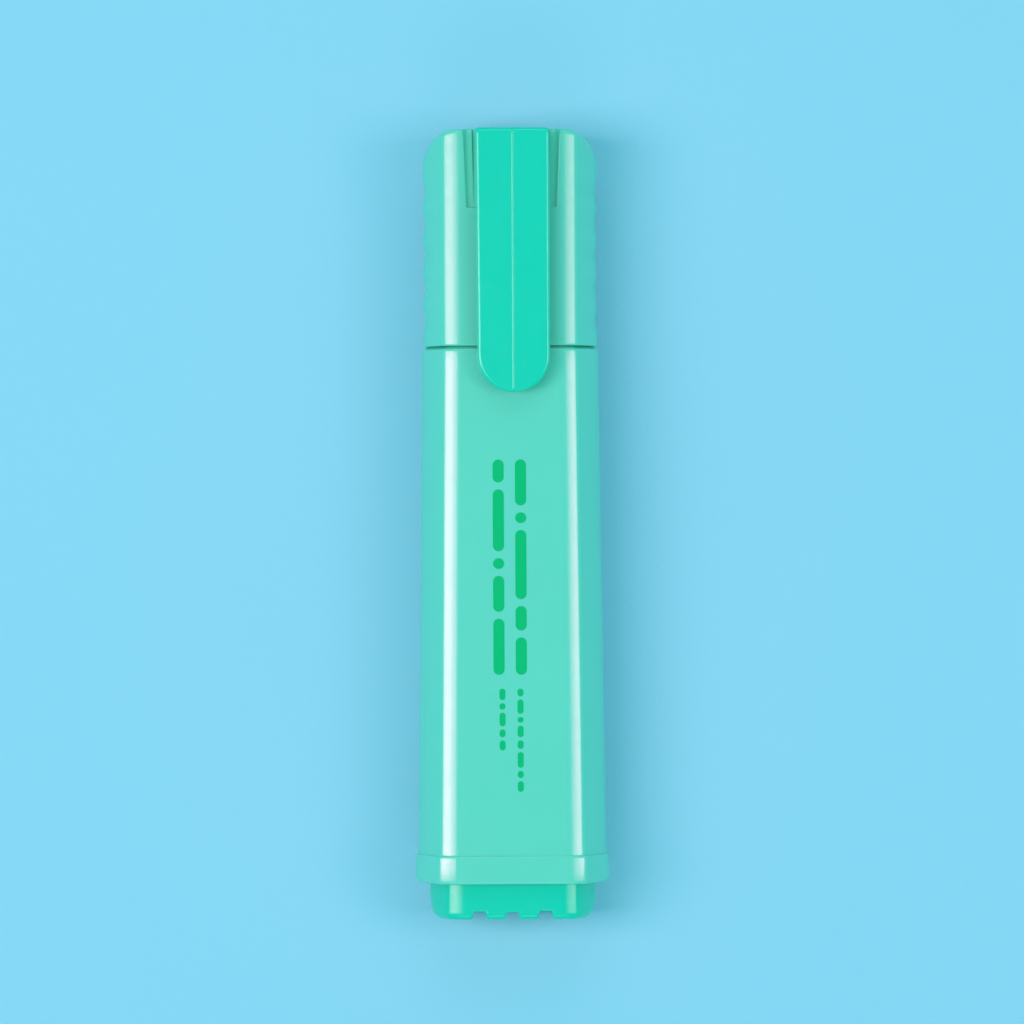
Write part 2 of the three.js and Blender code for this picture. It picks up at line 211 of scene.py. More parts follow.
def gradient(field, points, step=2e-3):
    slopes = []
    for offset in np.eye(3) * step:
        ahead, behind = (points + offset).T, (points - offset).T
        slopes.append((field(*ahead) - field(*behind)) / (2 * step))
    return np.stack(slopes, -1)


# How often the points are drawn onto the surface, and what keeps each draw short.
DRAWS = 5
SLOPE_FLOOR = 0.05
LONGEST_DRAW = 0.3


def carve(name, field, xs, ys, zs):
    """A closed mesh of the surface where the field is zero, meshed on a grid and drawn onto the surface."""
    grid = np.stack(np.meshgrid(xs, ys, zs, indexing="ij"), -1)
    values = field(grid[..., 0], grid[..., 1], grid[..., 2])
    index, points = cell_vertices(values, grid)
    faces = cell_quads(values, index)
    for _ in range(DRAWS):
        slope = gradient(field, points)
        reach = field(*points.T) / np.maximum((slope**2).sum(1), SLOPE_FLOOR)
        points = points - np.clip(reach, -LONGEST_DRAW, LONGEST_DRAW)[:, None] * slope
    mesh = new_mesh(name, points, faces)
    slope = gradient(field, points)
    normals = slope / np.linalg.norm(slope, axis=1)[:, None]
    mesh.normals_split_custom_set_from_vertices(normals)
    return new_object(name, mesh)


def new_mesh(name, points, faces):
    mesh = bpy.data.meshes.new(name)
    mesh.from_pydata((np.asarray(points) * MM).tolist(), [], [list(map(int, f)) for f in faces])
    mesh.validate()
    mesh.polygons.foreach_set("use_smooth", [True] * len(mesh.polygons))
    return mesh


def new_object(name, mesh):
    made = bpy.data.objects.new(name, mesh)
    bpy.context.scene.collection.objects.link(made)
    return made


# The points on a quarter of a ring, and the share of them before each of its knots.
RING_QUARTER = 34
RING_SHARES = (0, 0.38, 0.62, 0.9, 1)
RAY_REACH, RAY_HALVINGS = 20.0, 40
CREASE_BUNCH, FLAT_RUN = 0.05, 2.6
CORNER_SHARE = 0.4
ROUND_STEPS, LARGEST_SETBACK = 7, 0.48


def ring(section, knots, station):
    """One ring of a loft: a section's outline at a station, met along rays from the axis."""
    quarter = np.interp(np.linspace(0, 1, RING_QUARTER + 1), RING_SHARES, knots)
    angles = np.concatenate([
        quarter, math.pi - quarter[-2::-1], math.pi + quarter[1:], 2 * math.pi - quarter[-2:0:-1],
    ])
    near, far = np.zeros_like(angles), np.full_like(angles, RAY_REACH)
    for _ in range(RAY_HALVINGS):
        middle = (near + far) / 2
        inside = section(middle * np.cos(angles), middle * np.sin(angles)) < 0
        near, far = np.where(inside, middle, near), np.where(inside, far, middle)
    y = np.full_like(angles, TAIL + station)
    return np.stack([near * np.cos(angles), y, AXIS + near * np.sin(angles)], -1)


def pen_ring(size, station, grow=0.0):
    """A ring of the pen's own section; its points bunch at the crease."""
    half_width, half_thick, inset, blend = size[0] + grow, size[1] + grow, *size[2:]
    crease = math.atan2(half_thick - CREASE_DROP, half_width - inset)
    flat = math.atan2(half_thick, half_width - inset - FLAT_RUN)
    knots = (0, crease - CREASE_BUNCH, crease + CREASE_BUNCH, flat, math.pi / 2)
    return ring(lambda x, z: pen_section(x, z, half_width, half_thick, inset, blend), knots, station)


def box_ring(half_width, half_thick, corner, station):
    """A ring of a rounded rectangle; its points bunch at the corners."""
    low = math.atan2(half_thick - corner, half_width)
    high = math.atan2(half_thick, half_width - corner)
    knots = (0, low, between(low, high, CORNER_SHARE), high, math.pi / 2)
    return ring(lambda x, z: rounded_box(x, z, half_width, half_thick, corner), knots, station)


def disc_ring(radius, station):
    """A round ring: a box ring whose corners are just short of meeting."""
    return box_ring(radius, radius, radius * 0.999, station)


def between(a, b, share):
    return a + (b - a) * share


def scaled(sizes, factor):
    return tuple(size * factor for size in sizes)


def rounded(keys, closed):
    """Rings through the key rings, with each key's edge rounded by its own setback."""
    rings = []
    for i, (here, setback) in enumerate(keys):
        is_end = not closed and i in (0, len(keys) - 1)
        if is_end or np.max(setback) == 0:
            rings.append(here)
            continue
        before, after = keys[i - 1][0], keys[(i + 1) % len(keys)][0]
        starts = []
        for other in (before, after):
            reach = np.linalg.norm(other - here, axis=1)
            share = np.minimum(setback / np.maximum(reach, 1e-6), LARGEST_SETBACK)
            starts.append(here + (other - here) * share[:, None])
        for t in np.linspace(0, 1, ROUND_STEPS):
            rings.append(starts[0] * (1 - t) ** 2 + here * 2 * t * (1 - t) + starts[1] * t * t)
    return rings


def loft(name, keys, closed):
    """A surface through key rings; closed joins the last to the first, otherwise both ends are filled."""
    rings = rounded(keys, closed)
    count = len(rings[0])
    faces = []
    for i in range(len(rings) - (0 if closed else 1)):
        a, b = i * count, (i + 1) % len(rings) * count
        for j in range(count):
            k = (j + 1) % count
            faces.append((a + j, a + k, b + k, b + j))
    if not closed:
        faces.append(tuple(range(count))[::-1])
        last = (len(rings) - 1) * count
        faces.append(tuple(range(last, last + count)))
    made = new_object(name, new_mesh(name, np.concatenate(rings), faces))
    face_outwards(made)
    weigh_normals(made)
    return made


def face_outwards(piece):
    work = bmesh.new()
    work.from_mesh(piece.data)
    bmesh.ops.recalc_face_normals(work, faces=work.faces)
    work.to_mesh(piece.data)
    work.free()


def weigh_normals(piece):
    modifier = piece.modifiers.new("weighted_normals", "WEIGHTED_NORMAL")
    modifier.mode = "FACE_AREA"
    modifier.weight = 90
    modifier.keep_sharp = False


# ---- Cap ----

CAP_CORNER = 4.8
END_BOW = 0.1
SHARP = 0.02
END_ROUND, END_ROUND_FADE = 0.62, 1.6
MOUTH_ROUND = 0.3
CAP_HOLLOW_FOOT, CAP_LIP_ROUND = 0.5, 0.25
SCALLOP_FIRST, SCALLOP_PITCH, SCALLOP_COUNT, SCALLOP_DEPTH = 81.25, 4.5, 5, 0.25

# Wedges in the pen's face at the cap's end. Each has its centre, half widths at the end and at the tail,
# length, depths at the end and at the tail, and how far its walls lean out on each millimetre of height.
RECESS = (0.28, 6.52, 6.15, 11.0, 0.5, 0.3, 0.9)
POCKET = (0.22, 5.38, 5.15, 10.1, 0.95, 0.32, 0)
CLIP_BASE = (0.3, 5.0, 4.7, 9.8, 0.55, 0, 0)
RECESS_FOOT, RECESS_EDGE, POCKET_EDGE = 0.3, 0.12, 0.14
RECESS_LIP, RECESS_LIP_RUN = 0.26, 1.25
WEDGE_TAIL_ROUND = 0.2
SLOT_CENTRE, SLOT_HALF, SLOT_ENDS = 0.45, 3.35, (LENGTH - 5.35, LENGTH - 2.65)
SLOT_EDGE = 0.1


def cap_plan(x, s, grow=0.0):
    """The cap's outline from the front: rounded corners and a slightly bowed end."""
    ax = np.abs(x)
    straight = CAP[0] - CAP_CORNER
    bow = END_BOW * np.minimum(ax / straight, 1) ** 2
    qx = ax - straight
    qy = s + bow - LENGTH + CAP_CORNER
    outside = np.hypot(np.maximum(qx, 0), np.maximum(qy, 0))
    return outside + np.minimum(np.maximum(qx, qy), 0) - CAP_CORNER - grow


def scallops(s):
    turn = (s - SCALLOP_FIRST) / SCALLOP_PITCH
    wave = SCALLOP_DEPTH * (1 - np.cos(2 * math.pi * turn)) / 2
    return np.where((turn > 0) & (turn < SCALLOP_COUNT), wave, 0)


def face_wedge(x, s, z, wedge, edge):
    """A wedge that goes down into the face from above, and runs out past the cap's end."""
    centre, half_end, half_tail, length, depth_end, depth_tail, lean = wedge
    share = np.clip((s - LENGTH + length) / length, 0, 1)
    depth = between(depth_tail, depth_end, share)
    half = between(half_tail, half_end, share) + lean * (z - FACE + depth / 2)
    sides = (np.abs(x - centre) - half) / math.hypot(1, lean)
    sides = smooth_max(sides, LENGTH - length - s, WEDGE_TAIL_ROUND)
    return smooth_max(sides, FACE - depth - z, edge)


def cap_body(x, s, z):
    """The outside of the cap, before its mouth is cut."""
    side_share = np.clip(1 - (np.abs(z - AXIS) / (CAP[1] - CREASE_DROP)) ** 2, 0, 1)
    section = pen_section(x, z - AXIS, *CAP, dent=scallops(s) * side_share)
    rounding = SHARP + END_ROUND * np.clip((s - LENGTH + CAP_CORNER) / END_ROUND_FADE, 0, 1)
    return smooth_max(section, cap_plan(x, s), rounding)


def cap_field(x, y, z):
    s = y - TAIL
    lip = RECESS_LIP * np.clip((s - LENGTH + RECESS_LIP_RUN) / RECESS_LIP_RUN, 0, 1) ** 2
    recess = face_wedge(x, s, z + lip, RECESS, RECESS_FOOT)
    pocket = face_wedge(x, s, z, POCKET, POCKET_EDGE)
    outside = smooth_max(cap_body(x, s, z), -recess, RECESS_EDGE)
    outside = smooth_max(outside, -pocket, POCKET_EDGE)
    outside = smooth_max(outside, MOUTH - s, MOUTH_ROUND)
    hollow_section = pen_section(x, z - AXIS, CAP[0] - WALL, CAP[1] - WALL, *CAP[2:])
    hollow = smooth_max(hollow_section, cap_plan(x, s, -WALL), CAP_HOLLOW_FOOT)
    slot = np.maximum(np.abs(x - SLOT_CENTRE) - SLOT_HALF, beyond(s, SLOT_ENDS))
    slot = np.maximum(slot, AXIS - z)
    return smooth_max(smooth_max(outside, -hollow, CAP_LIP_ROUND), -slot, SLOT_EDGE)


def make_cap():
    """The grid is fine at the mouth, crease, recess, pocket and end, and coarse on the plain stretches."""
    xs = mirrored(lines(
        (0, 2.4, 0.8), (2.4, 4.4, 0.25), (4.4, 7.1, 0.1), (7.1, 9.0, 0.25), (9.0, 9.6, 0.1),
        (9.6, 11.8, 0.28), (11.8, 12.35, 0.11),
    ))
    ys = TAIL + lines(
        (MOUTH - 0.2, MOUTH + 0.6, 0.07), (MOUTH + 0.6, 98.5, 0.375), (98.5, 100.4, 0.1),
        (100.4, 104.6, 0.36), (104.6, 107.2, 0.2), (107.2, LENGTH + 0.1, 0.09),
    )
    back = lines((-8.0, -6.9, 0.1), (-6.9, -6.0, 0.18), (-6.0, 0, 0.4))
    front = lines((0, 5.9, 0.4), (5.9, 8.0, 0.1))
    return carve("cap_shell_moulded", cap_field, xs, ys, AXIS + np.concatenate([back, front[1:]]))


# ---- Clip ----

CLIP_TIP_RADIUS, CLIP_ROOT_HALF = 5.04, 5.16
CLIP_CENTRE_TIP, CLIP_CENTRE_END = 0.51, 0.41
CLIP_RISE = 3.3
CLIP_TOP = FACE + CLIP_RISE
CLIP_THICK, CLIP_LIFT, CLIP_ROOT_LENGTH = 1.3, 0.1, 9.8
CLIP_EDGE, CLIP_BEND, CLIP_UNDER_EDGE = 0.55, 0.76, 0.3
ROOT_FILLET, GRIP_FILLET, BASE_FILLET, TONGUE_FILLET = 1.2, 1.1, 0.1, 0.15
GRIP_CENTRE, GRIP_DROP, GRIP_RADIUS = 77.8, 1.4, 2.3
TONGUE_HALF, TONGUE_ENDS, TONGUE_DEPTH = 3.0, (LENGTH - 5.0, LENGTH - 3.0), 1.2
ROOT_OVERLAP = 1.0
RIB_CENTRE, RIB_SPREAD, RIB_RISE = 0.45, 0.08, 0.06
TIP = CLIP_LOW[1] - TAIL


def clip_plan(x, s):
    """The clip from the front: nearly parallel sides and a round tip, a little to one side of the middle."""
    along = (s - TIP) / (LENGTH - TIP)
    offset = x - between(CLIP_CENTRE_TIP, CLIP_CENTRE_END, along)
    tip_centre = TIP + CLIP_TIP_RADIUS
    half = between(CLIP_TIP_RADIUS, CLIP_ROOT_HALF, (s - tip_centre) / (LENGTH - tip_centre))
    tip = np.hypot(offset, s - tip_centre) - CLIP_TIP_RADIUS
    return np.where(s < tip_centre, tip, np.abs(offset) - half)


def clip_underside(s, z):
    """Below zero inside the arm, its thick root and the grip bump under its tip, seen from the side."""
    under = CLIP_TOP - CLIP_THICK
    root = np.maximum(LENGTH - CLIP_ROOT_LENGTH - s, FACE + CLIP_LIFT - z)
    grip = np.hypot(s - GRIP_CENTRE, z - under + GRIP_DROP - GRIP_RADIUS) - GRIP_RADIUS
    return smooth_min(smooth_min(under - z, root, ROOT_FILLET), grip, GRIP_FILLET)


def clip_field(x, y, z):
    s = y - TAIL
    rib = RIB_RISE * np.exp(-(((x - RIB_CENTRE) / RIB_SPREAD) ** 2))
    body = smooth_max(cap_plan(x, s), z - CLIP_TOP - rib, CLIP_BEND)
    body = smooth_max(body, clip_plan(x, s), CLIP_EDGE)
    body = smooth_max(body, clip_underside(s, z), CLIP_UNDER_EDGE)
    root_top = FACE + ROOT_OVERLAP
    base = np.maximum(face_wedge(x, s, z, CLIP_BASE, BASE_FILLET), np.maximum(cap_plan(x, s), z - root_top))
    tongue = np.maximum(np.abs(x - SLOT_CENTRE) - TONGUE_HALF, beyond(s, TONGUE_ENDS))
    tongue = np.maximum(tongue, beyond(z, (FACE - TONGUE_DEPTH, root_top)))
    whole = smooth_min(smooth_min(body, base, BASE_FILLET), tongue, TONGUE_FILLET)
    return np.maximum(whole, cap_plan(x, s))


def make_clip():
    """The grid is fine at the edges, rib, tip and end, and coarse on the plain stretches."""
    xs = lines(
        (-4.95, -3.9, 0.07), (-3.9, 0.13, 0.37), (0.13, 0.77, 0.04), (0.77, 4.5, 0.37), (4.5, 5.8, 0.07),
    )
    ys = TAIL + lines(
        (TIP - 0.15, TIP + 1.2, 0.07), (TIP + 1.2, 79.8, 0.2), (79.8, 99.2, 0.5), (99.2, 100.9, 0.1),
        (100.9, LENGTH - 1.4, 0.2), (LENGTH - 1.4, LENGTH + 0.15, 0.06),
    )
    zs = lines(
        (FACE - 1.35, FACE - 0.7, 0.12), (FACE - 0.7, FACE + 0.8, 0.08), (FACE + 0.8, CLIP_TOP - 0.7, 0.1),
        (CLIP_TOP - 0.7, CLIP_TOP + 0.16, 0.04),
    )
    return carve("clip_moulded", clip_field, xs, ys, zs)


# ---- End plug ----

PLUG_INNER, PLUG_END_WALL = 13.0, 2.6
PLUG_ROUND, PLUG_ROUND_ENDS = 1.0, (1.2, 3.2)
PLUG_CORNER = 1.7
PLUG_INNER_ROUND, PLUG_HOLLOW_FOOT, PLUG_LIP_ROUND = 0.3, 0.5, 0.25
NOTCH_WIDEN, NOTCH_LIP, NOTCH_FOOT = 0.15, 0.41, 0.25
FIN_HALF, FIN_REACH, FIN_ENDS = 0.6, 5.2, (2.0, PLUG_HIGH[1] - TAIL)
FIN_FILLET = 0.2

# Each notch: its centre, its width at the root and its depth.
NOTCHES = ((-4.6, 1.57, 1.15), (0.0, 1.57, 1.05), (4.6, 1.7, 1.2))


def plug_field(x, y, z):
    s = y - TAIL
    zr = z - AXIS
    qx, qs = np.abs(x) - PLUG[0] + PLUG_CORNER, PLUG_CORNER - s
    plan = np.hypot(np.maximum(qx, 0), np.maximum(qs, 0)) + np.minimum(np.maximum(qx, qs), 0) - PLUG_CORNER
    round_start, round_end = PLUG_ROUND_ENDS
    rounding = PLUG_ROUND * np.clip((round_end - s) / (round_end - round_start), SHARP, 1)
    body = smooth_max(pen_section(x, zr, *PLUG), plan, rounding)
    body = smooth_max(body, s - PLUG_INNER, PLUG_INNER_ROUND)
    hollow_section = pen_section(x, zr, PLUG[0] - WALL, PLUG[1] - WALL, *PLUG[2:])
    hollow = smooth_max(hollow_section, PLUG_END_WALL - s, PLUG_HOLLOW_FOOT)
    body = smooth_max(body, -hollow, PLUG_LIP_ROUND)
    fins = np.minimum(
        np.maximum(np.abs(x) - FIN_HALF, np.abs(zr) - FIN_REACH),
        np.maximum(np.abs(zr) - FIN_HALF, np.abs(x) - FIN_REACH),
    )
    fins = np.maximum(fins, beyond(s, FIN_ENDS))
    body = smooth_min(body, fins, FIN_FILLET)
    for centre, width, depth in NOTCHES:
        half = width / 2 + NOTCH_WIDEN * (1 - s / depth)
        notch = smooth_max(np.abs(x - centre) - half, s - depth, NOTCH_FOOT)
        body = smooth_max(body, -notch, NOTCH_LIP)
    return body


def make_plug():
    """The grid is fine at the notches, crease and rims, and coarse inside the barrel."""
    xs = mirrored(lines(
        (0, 0.45, 0.15), (0.45, 1.35, 0.08), (1.35, 3.3, 0.2), (3.3, 5.9, 0.1), (5.9, 8.4, 0.25),
        (8.4, 9.3, 0.09), (9.3, 11.2, 0.2), (11.2, 11.7, 0.1),
    ))
    ys = TAIL + lines(
        (-0.1, 1.6, 0.08), (1.6, 3.4, 0.15), (3.4, 12.4, 0.6), (12.4, 13.2, 0.1),
        (13.2, FIN_ENDS[1] + 0.2, 0.4),
    )
    half = lines((-7.0, -6.0, 0.09), (-6.0, -5.0, 0.15), (-5.0, 0, 0.25))
    zs = AXIS + np.concatenate([half, -half[-2::-1]])
    return carve("end_plug_moulded", plug_field, xs, ys, zs)


# ---- Barrel ----

RIM_FACE_ROUND, RIM_SIDE_ROUND = 0.5, 1.15
COLLAR_EDGE, FOOT_FACE_ROUND, FOOT_SIDE_ROUND = 0.5, 0.12, 0.38
SHOULDER_ROUND = 0.24
LAND_DROP, LAND_END = 0.72, MOUTH - 0.02
NECK_GROW, NECK_WALL, NECK_END = -1.9, 1.2, MOUTH + 8.2
BEAD_START, BEAD_LENGTH, BEAD_RISE = MOUTH + 3.2, 1.4, 0.25
NOSE = (6.0, 4.2, 3.2)
NOSE_TIP_SCALE = 0.92
NOSE_START, NOSE_END = 90.6, 99.0
HOLLOW_INSET = 2.5
SIDE_BLEND = 1.5
TUBE_MARGIN, TUBE_RINGS, BEAD_RINGS = 2, 9, 9


def tapered(station):
    """The barrel's section sizes at a station: it slims from the collar to the shoulder."""
    share = (station - COLLAR_END) / (SHOULDER - COLLAR_END)
    return tuple(between(a, b, share) for a, b in zip(REAR, FRONT))


def hollow_ring(station):
    half_width, half_thick, _, blend = tapered(station)
    return pen_ring((half_width, half_thick, HOLLOW_INSET, blend), station, -WALL)


def bead_keys():
    keys = []
    for share in np.linspace(0, 1, BEAD_RINGS):
        grow = NECK_GROW + BEAD_RISE * math.sin(math.pi * share) ** 2
        keys.append((pen_ring(CAP, BEAD_START + BEAD_LENGTH * share, grow), 0))
    return keys


def make_barrel():
    """The key rings go along the outside from the collar to the nose, and back along the inside."""
    rim = pen_ring(COLLAR, COLLAR_START)
    sideness = np.clip((np.abs(rim[:, 0]) - COLLAR[0] + COLLAR[2]) / SIDE_BLEND, 0, 1)
    rim_round = between(RIM_FACE_ROUND, RIM_SIDE_ROUND, sideness)
    foot_round = between(FOOT_FACE_ROUND, FOOT_SIDE_ROUND, sideness)
    stations = np.linspace(COLLAR_END + TUBE_MARGIN, SHOULDER - TUBE_MARGIN, TUBE_RINGS)
    tube = [(pen_ring(tapered(s), s), 0) for s in stations]
    nose_tip = scaled(NOSE, NOSE_TIP_SCALE)
    keys = [
        (rim, rim_round),
        (pen_ring(COLLAR, COLLAR_START + 2), 0),
        (pen_ring(COLLAR, COLLAR_END), COLLAR_EDGE),
        (pen_ring(REAR, COLLAR_END), foot_round),
        *tube,
        (pen_ring(FRONT, SHOULDER), SHOULDER_ROUND),
        (pen_ring(FRONT, LAND_END, -LAND_DROP), 0.06),
        (pen_ring(CAP, LAND_END, NECK_GROW), 0.1),
        *bead_keys(),
        (pen_ring(CAP, NECK_END, NECK_GROW), 0.4),
        (box_ring(*NOSE, NOSE_START), 0.5),
        (box_ring(*nose_tip, NOSE_END), 0.5),
        (box_ring(*NIB_BORE, NOSE_END), 0.2),
        (box_ring(*NIB_BORE, NECK_END - NECK_WALL), 0.2),
        (pen_ring(CAP, NECK_END - NECK_WALL, NECK_GROW - NECK_WALL), 0.3),
        (pen_ring(CAP, SHOULDER - WALL, NECK_GROW - NECK_WALL), 0.2),
        (hollow_ring(SHOULDER - WALL), 0.3),
        (hollow_ring(COLLAR_START + 3), 0),
        (hollow_ring(COLLAR_START), 0.15),
    ]
    return loft("barrel_moulded", keys, closed=True)


# ---- Nib, ink and seal ----

NIB_REAR, NIB_TIP = NIB_LOW[1] - TAIL, NIB_HIGH[1] - TAIL
NIB_CORNER, NIB_END_ROUND = 0.9, 0.3
CHISEL_RUN, CHISEL_RISE, CHISEL_EDGE = 3.8, 3.5, 0.5
INK_RADIUS = (INK_HIGH[0] - INK_LOW[0]) / 2
INK_REAR, INK_FRONT = INK_LOW[1] - TAIL, INK_HIGH[1] - TAIL
INK_SOCKET = 4
WRAP_THICK = 0.2
SEAL_OUTER, SEAL_WALL = (7.2, 5.4, 4.0), 0.8
FLANGE, FLANGE_THICK = (8.2, 5.9, 3.6), 1
END_FILL = 0.5


def nib_field(x, y, z):
    s, zr = y - TAIL, z - AXIS
    rod = rounded_box(x, zr, *NIB_HALF, NIB_CORNER)
    chisel = (s - NIB_TIP) * CHISEL_RISE - (zr - NIB_HALF[1] + CHISEL_EDGE) * CHISEL_RUN
    chisel = chisel / math.hypot(CHISEL_RISE, CHISEL_RUN)
    rod = smooth_max(smooth_max(rod, chisel, CHISEL_EDGE), s - NIB_TIP, NIB_END_ROUND)
    return smooth_max(rod, NIB_REAR - s, NIB_END_ROUND)


def make_nib():
    xs = mirrored(lines((0, 1.5, 0.3), (1.5, 2.8, 0.1)))
    ys = TAIL + lines(
        (NIB_REAR - 0.2, NIB_REAR + 0.6, 0.1), (NIB_REAR + 0.6, NOSE_END, 1.0), (NOSE_END, NIB_TIP + 0.2, 0.12),
    )
    zs = AXIS + mirrored(lines((0, 1.0, 0.2), (1.0, 2.2, 0.1)))
    return carve("nib_felt", nib_field, xs, ys, zs)


def make_reservoir():
    keys = [
        (disc_ring(INK_RADIUS * END_FILL, INK_REAR), 0),
        (disc_ring(INK_RADIUS, INK_REAR), 0.5),
        (disc_ring(INK_RADIUS, INK_FRONT), 0.4),
        (box_ring(*NIB_BORE, INK_FRONT), 0.2),
        (box_ring(*NIB_BORE, INK_FRONT - INK_SOCKET), 0.1),
        (box_ring(*scaled(NIB_BORE, END_FILL), INK_FRONT - INK_SOCKET), 0),
    ]
    return loft("ink_fibre_rod", keys, closed=False)


def make_wrap():
    outer = (WRAP_HIGH[0] - WRAP_LOW[0]) / 2
    rear, front = WRAP_LOW[1] - TAIL, WRAP_HIGH[1] - TAIL
    inner = outer - WRAP_THICK
    corners = ((outer, rear), (outer, front), (inner, front), (inner, rear))
    return loft("film_wrap", [(disc_ring(r, s), 0.05) for r, s in corners], closed=True)


def make_seal():
    mouth, end = SEAL_LOW[1] - TAIL, SEAL_HIGH[1] - TAIL
    inner = tuple(size - SEAL_WALL for size in SEAL_OUTER)
    keys = [
        (box_ring(*scaled(FLANGE, END_FILL), end), 0),
        (box_ring(*FLANGE, end), 0.25),
        (box_ring(*FLANGE, end - FLANGE_THICK), 0.2),
        (box_ring(*SEAL_OUTER, end - FLANGE_THICK), 0.2),
        (box_ring(*SEAL_OUTER, mouth), 0.25),
        (box_ring(*inner, mouth), 0.25),
        (box_ring(*inner, end - SEAL_WALL), 0.4),
        (box_ring(*scaled(inner, END_FILL), end - SEAL_WALL), 0),
    ]
    return loft("inner_cap_moulded", keys, closed=False)


# ---- Print ----

SAME_POINT = 1e-6
INK_FILM = 0.02
PRINT_START, FINE_START = 64.0, 32.2

# Each row: its place across, the bars' half width, where it starts, the bars' lengths and the gap between them.
PRINT_ROWS = (
    (1.35, 0.78, PRINT_START, (6.4, 1.5, 9.6, 3.4, 5.2), 0.95),
    (-1.75, 0.78, PRINT_START, (3.2, 8.6, 1.5, 5.0, 7.8), 0.95),
    (1.2, 0.42, FINE_START, (1.1, 2.0, 0.8, 1.6, 1.2, 2.2, 1.0, 1.5), 0.42),
    (-1.3, 0.42, FINE_START, (1.6, 0.9, 1.9, 1.1, 1.4), 0.42),
)


def pill_outline(centre, half, steps=8):
    """A rounded bar in the plane of the barrel's face; the rounding is half of its shorter side."""
    round_by = min(half)
    points = []
    for corner in range(4):
        cx = (half[0] - round_by) * (1 if corner in (0, 3) else -1)
        cy = (half[1] - round_by) * (1 if corner in (0, 1) else -1)
        for i in range(steps + 1):
            turn = (corner + i / steps) * math.pi / 2
            across, along = cx + round_by * math.cos(turn), cy + round_by * math.sin(turn)
            points.append((centre[0] + across, centre[1] + along))
    # Where a side has no straight run, the corners at its ends share a point, which is kept once.
    return [point for i, point in enumerate(points) if math.dist(point, points[i - 1]) > SAME_POINT]


def make_print():
    """Bars printed on the barrel's face: two bold rows, then two fine ones."""
    points, faces = [], []
    for x, half_width, start, lengths, gap in PRINT_ROWS:
        s = start
        for length in lengths:
            outline = pill_outline((x, s - length / 2), (half_width, length / 2))
            add_film(points, faces, outline)
            s -= length + gap
    made = new_object("barrel_print", new_mesh("barrel_print", points, faces))
    made.data.polygons.foreach_set("use_smooth", [False] * len(faces))
    return made


def add_film(points, faces, outline):
    first, count = len(points), len(outline)
    for height in (-INK_FILM, INK_FILM):
        points.extend((x, TAIL + s, AXIS + tapered(s)[1] + height) for x, s in outline)
    faces.append(tuple(range(first, first + count))[::-1])
    faces.append(tuple(range(first + count, first + 2 * count)))
    for i in range(count):
        j = (i + 1) % count
        faces.append((first + i, first + j, first + count + j, first + count + i))


# ---- Materials ----

PASTEL = (0.14, 0.69, 0.53)
GLOSS_TINT = (1.0, 0.6, 0.85, 1)
TURQUOISE = (0.005, 0.63, 0.44)
PRINT_GREEN = (0.002, 0.50, 0.175)
SEAL_WHITE = (0.62, 0.78, 0.74)
NIB_COLOUR = (0.03, 0.60, 0.34)
FIBRE_COLOUR = (0.2, 0.70, 0.52)
FILM_TINT = (0.86, 0.97, 0.95, 1)
TABLE_BLUE = (0.315, 0.65, 0.83)


def add_node(tree, kind, values=None, **settings):
    made = tree.nodes.new(kind)
    for name, value in settings.items():
        setattr(made, name, value)
    for name, value in (values or {}).items():
        if isinstance(value, bpy.types.NodeSocket):
            tree.links.new(value, made.inputs[name])
        else:
            made.inputs[name].default_value = value
    return made


def new_material(name, values):
    """A Principled material with the values that are the same all over, and its object coordinates."""
    made = bpy.data.materials.new(name)
    made.use_nodes = True
    tree = made.node_tree
    shader = tree.nodes["Principled BSDF"]
    for socket, value in values.items():
        shader.inputs[socket].default_value = value
    place = add_node(tree, "ShaderNodeTexCoord").outputs["Object"]
    return made, tree, shader, place


def noise(tree, place, scale, detail=2.0, roughness=0.5):
    values = {"Vector": place, "Scale": scale, "Detail": detail, "Roughness": roughness}
    return add_node(tree, "ShaderNodeTexNoise", values).outputs["Fac"]


def remap(tree, value, source, target):
    names = ("From Min", "From Max", "To Min", "To Max")
    values = {"Value": value, **dict(zip(names, (*source, *target)))}
    return add_node(tree, "ShaderNodeMapRange", values).outputs["Result"]


def mix_colour(tree, factor, a, b):
    made = add_node(tree, "ShaderNodeMix", data_type="RGBA")
    sockets = {"Factor_Float": factor, "A_Color": a, "B_Color": b}
    for socket in made.inputs:
        if socket.identifier in sockets:
            value = sockets[socket.identifier]
            if isinstance(value, bpy.types.NodeSocket):
                tree.links.new(value, socket)
            else:
                socket.default_value = (*value, 1) if isinstance(value, tuple) else value
    return next(out for out in made.outputs if out.identifier == "Result_Color")


def bump(tree, height, distance, strength=1.0):
    values = {"Height": height, "Distance": distance, "Strength": strength}
    return add_node(tree, "ShaderNodeBump", values).outputs["Normal"]


def tint(colour, factor):
    return tuple(channel * factor for channel in colour)


def moulded_plastic(name, colour, rough, grain, grain_depth, values):
    """Moulded plastic: faint flow tone, a fine mould grain, uneven gloss and a little settled dust."""
    made, tree, shader, place = new_material(name, {"IOR": 1.55, **values})
    flow = noise(tree, place, 55, 3)
    dust = remap(tree, noise(tree, place, 2100, 4, 0.7), (0.74, 0.8), (0, 0.35))
    body = mix_colour(tree, flow, tint(colour, 0.97), tint(colour, 1.03))
    pale = tuple(between(channel, 0.85, 0.5) for channel in colour)
    tree.links.new(mix_colour(tree, dust, body, pale), shader.inputs["Base Color"])
    gloss = remap(tree, noise(tree, place, 700, 4), (0.3, 0.7), (rough * 0.88, rough * 1.12))
    tree.links.new(gloss, shader.inputs["Roughness"])
    height = noise(tree, place, grain, 2)
    tree.links.new(bump(tree, height, grain_depth), shader.inputs["Normal"])
    return made


